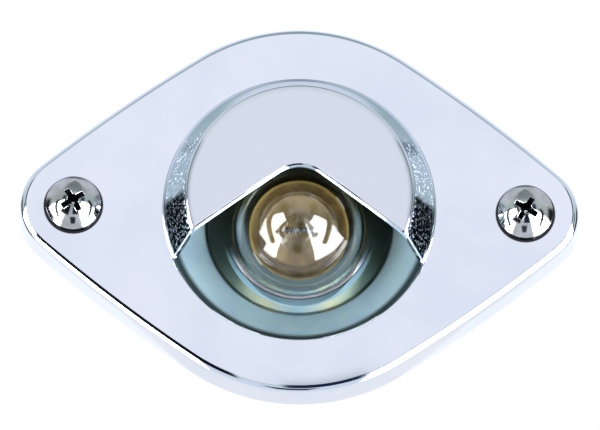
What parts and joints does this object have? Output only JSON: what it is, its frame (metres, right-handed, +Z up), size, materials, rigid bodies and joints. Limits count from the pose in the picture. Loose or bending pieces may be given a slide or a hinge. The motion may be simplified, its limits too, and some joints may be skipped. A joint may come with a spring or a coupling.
{
  "type": "number plate lamp",
  "caption": "Lozenge-shaped chromed number plate lamp: a pressed cover whose eyelid hood shades a clear globe bulb in a tilted bayonet socket.",
  "frame": {"origin": "midway between the two fixing screws, on the panel's face, where the skirt and the gasket rest", "axes": "+Z up, the lamp faces -Y and the panel is on the +Y side, +X along the line of the two screws"},
  "size_m": [0.0796, 0.048, 0.0546],
  "materials": {
    "chrome_cover": "bright chrome plate on a steel pressing",
    "zinc_housing": "bright zinc plate with a faint iridescent passivation",
    "zinc_socket": "zinc plated steel",
    "phenolic": "brown phenolic board",
    "brass": "plain brass",
    "spring_steel": "drawn spring wire",
    "fibre": "vulcanised fibre",
    "rubber": "matt black rubber",
    "clear_glass": "clear blown glass",
    "black_glass": "black glass seal",
    "solder": "solder",
    "cement": "baked basing cement",
    "stem_glass": "clear glass tube",
    "nickel_wire": "nickel wire",
    "tungsten": "coiled tungsten wire",
    "chrome_screw": "chromed steel screw"
  },
  "bodies": {
    "lamp": {"hood_cover": "chrome_cover", "reflector_housing": "zinc_housing", "socket_shell": "zinc_socket", "contact_spring": "spring_steel", "socket_end_plate": "fibre", "wire_grommet": "rubber", "panel_gasket": "rubber", "screw_left": "chrome_screw", "screw_right": "chrome_screw"},
    "bulb": {"bulb_glass": "clear_glass", "bulb_cap": "brass", "bulb_pin_left": "brass", "bulb_pin_right": "brass", "bulb_cap_glass": "black_glass", "bulb_contact": "solder", "basing_cement": "cement", "bulb_stem": "stem_glass", "support_wire_left": "nickel_wire", "support_wire_right": "nickel_wire", "filament": "tungsten", "contact_carrier": "phenolic", "contact_button": "brass"}
  },
  "joints": [
    {"name": "bulb_press", "type": "slide", "parent": "lamp", "child": "bulb", "axis": [0, 0.9563, 0.2924], "range_m": [0, 0.0015], "stiffness_N_per_m": 1500, "deforming": ["contact_spring"]}
  ]
}
